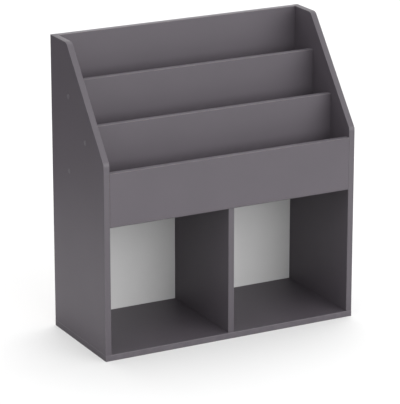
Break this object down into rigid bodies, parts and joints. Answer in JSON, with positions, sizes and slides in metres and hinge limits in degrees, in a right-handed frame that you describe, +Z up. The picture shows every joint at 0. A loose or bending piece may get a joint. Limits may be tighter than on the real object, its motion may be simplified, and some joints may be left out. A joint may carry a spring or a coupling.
{
  "type": "picture book browser bin",
  "caption": "Low book browser of grey board: stepped pockets that show picture books cover first, above open cubbies with a white back sheet, between sloped side panels.",
  "frame": {"origin": "on the floor, under the middle of the footprint", "axes": "+Z up, -Y towards the open front, +X to the right seen from the front"},
  "size_m": [0.7204, 0.3042, 0.78],
  "materials": {
    "melamine_board": "graphite grey melamine paper on chipboard, fine pearl texture, satin",
    "edge_band": "graphite grey plastic edge strip, satin",
    "back_sheet": "white lacquered hardboard, raw brown on the back",
    "zinc_steel": "zinc plated",
    "screw_cover": "grey moulded plastic",
    "beech_dowel": "raw beech"
  },
  "bodies": {
    "root": {"base_panel": "melamine_board", "left_side_panel": "melamine_board", "right_side_panel": "melamine_board", "centre_partition": "melamine_board", "cubby_shelf": "melamine_board", "front_fascia": "melamine_board", "middle_divider": "melamine_board", "rear_divider": "melamine_board", "upper_back_board": "melamine_board", "middle_pocket_floor": "melamine_board", "rear_pocket_floor": "melamine_board", "lower_back_sheet": "back_sheet", "left_side_band": "edge_band", "right_side_band": "edge_band", "base_front_band": "edge_band", "base_left_band": "edge_band", "base_right_band": "edge_band", "partition_band": "edge_band", "fascia_bottom_band": "edge_band", "fascia_top_band": "edge_band", "middle_divider_band": "edge_band", "rear_divider_band": "edge_band", "back_board_band": "edge_band", "left_middle_divider_screw": "zinc_steel", "left_rear_divider_screw": "zinc_steel", "left_middle_floor_screw": "zinc_steel", "right_middle_divider_screw": "zinc_steel", "right_rear_divider_screw": "zinc_steel", "right_middle_floor_screw": "zinc_steel", "base_screw_left_front": "zinc_steel", "base_screw_left_rear": "zinc_steel", "base_screw_partition": "zinc_steel", "base_screw_right_front": "zinc_steel", "base_screw_right_rear": "zinc_steel", "left_middle_divider_screw_cover": "screw_cover", "left_rear_divider_screw_cover": "screw_cover", "left_middle_floor_screw_cover": "screw_cover", "right_middle_divider_screw_cover": "screw_cover", "right_rear_divider_screw_cover": "screw_cover", "right_middle_floor_screw_cover": "screw_cover", "left_fascia_lower_dowel": "beech_dowel", "left_fascia_upper_dowel": "beech_dowel", "left_shelf_front_dowel": "beech_dowel", "left_shelf_rear_dowel": "beech_dowel", "left_middle_divider_dowel": "beech_dowel", "left_rear_divider_dowel": "beech_dowel", "left_middle_floor_dowel": "beech_dowel", "left_rear_floor_dowel": "beech_dowel", "left_back_board_lower_dowel": "beech_dowel", "left_back_board_upper_dowel": "beech_dowel", "right_fascia_lower_dowel": "beech_dowel", "right_fascia_upper_dowel": "beech_dowel", "right_shelf_front_dowel": "beech_dowel", "right_shelf_rear_dowel": "beech_dowel", "right_middle_divider_dowel": "beech_dowel", "right_rear_divider_dowel": "beech_dowel", "right_middle_floor_dowel": "beech_dowel", "right_rear_floor_dowel": "beech_dowel", "right_back_board_lower_dowel": "beech_dowel", "right_back_board_upper_dowel": "beech_dowel"}
  },
  "joints": []
}
